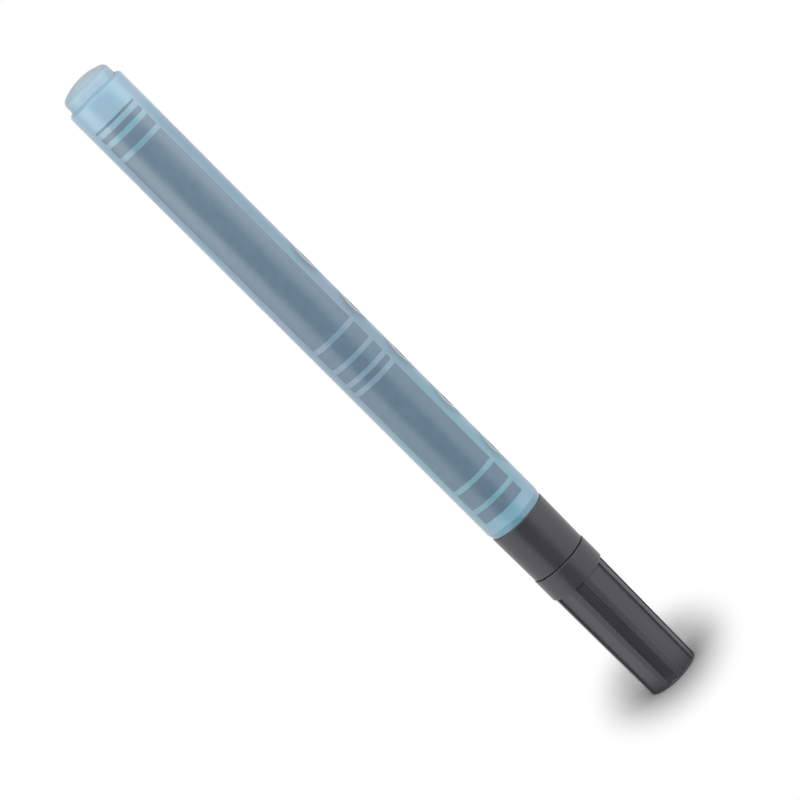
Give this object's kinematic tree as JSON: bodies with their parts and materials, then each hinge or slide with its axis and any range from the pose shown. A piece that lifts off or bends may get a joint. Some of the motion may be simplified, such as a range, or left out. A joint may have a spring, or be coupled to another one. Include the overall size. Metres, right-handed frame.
{
  "type": "paint marker",
  "caption": "Slim capped paint marker with a translucent barrel, fluted cap, domed end plug, spring valve, sliding nib and mixing ball.",
  "frame": {"origin": "centre of the cap's flat end face, on which the marker stands", "axes": "+Z along the marker from the cap to the rear plug; -Y is the printed side, which faces the camera"},
  "size_m": [0.011, 0.011, 0.1385],
  "materials": {
    "dark_plastic": "smooth charcoal moulded polypropylene with a soft sheen",
    "liner_plastic": "soft natural polyethylene",
    "nib_fibre": "dense bonded fibre, stained at its point",
    "barrel_plastic": "frosted translucent polypropylene, printed with plain grey bars",
    "plug_plastic": "frosted translucent polypropylene",
    "paint": "light-blue opaque acrylic paint",
    "valve_plastic": "natural acetal",
    "seat_rubber": "soft black rubber",
    "spring_steel": "drawn stainless spring wire",
    "ball_steel": "polished steel"
  },
  "bodies": {
    "cap": {"cap_shell": "dark_plastic", "inner_cap": "liner_plastic"},
    "marker_body": {"grip_section": "dark_plastic", "barrel": "barrel_plastic", "end_plug": "plug_plastic", "paint_charge": "paint", "valve_body": "valve_plastic", "valve_seat": "seat_rubber", "valve_spring": "spring_steel", "valve_retainer": "valve_plastic"},
    "nib": {"nib": "nib_fibre", "valve_plunger": "valve_plastic"},
    "mixing_ball": {"mixing_ball": "ball_steel"}
  },
  "joints": [
    {"name": "cap_pull", "type": "slide", "parent": "cap", "child": "marker_body", "axis": [0, 0, 1], "range_m": [0, 0.03]},
    {"name": "nib_press", "type": "slide", "parent": "marker_body", "child": "nib", "axis": [0, 0, 1], "range_m": [0, 0.002], "stiffness_N_per_m": 400, "springref_m": -0.004, "deforming": ["valve_spring"]},
    {"name": "ball_run", "type": "slide", "parent": "marker_body", "child": "mixing_ball", "axis": [0, 0, 1], "range_m": [0, 0.0848]}
  ]
}
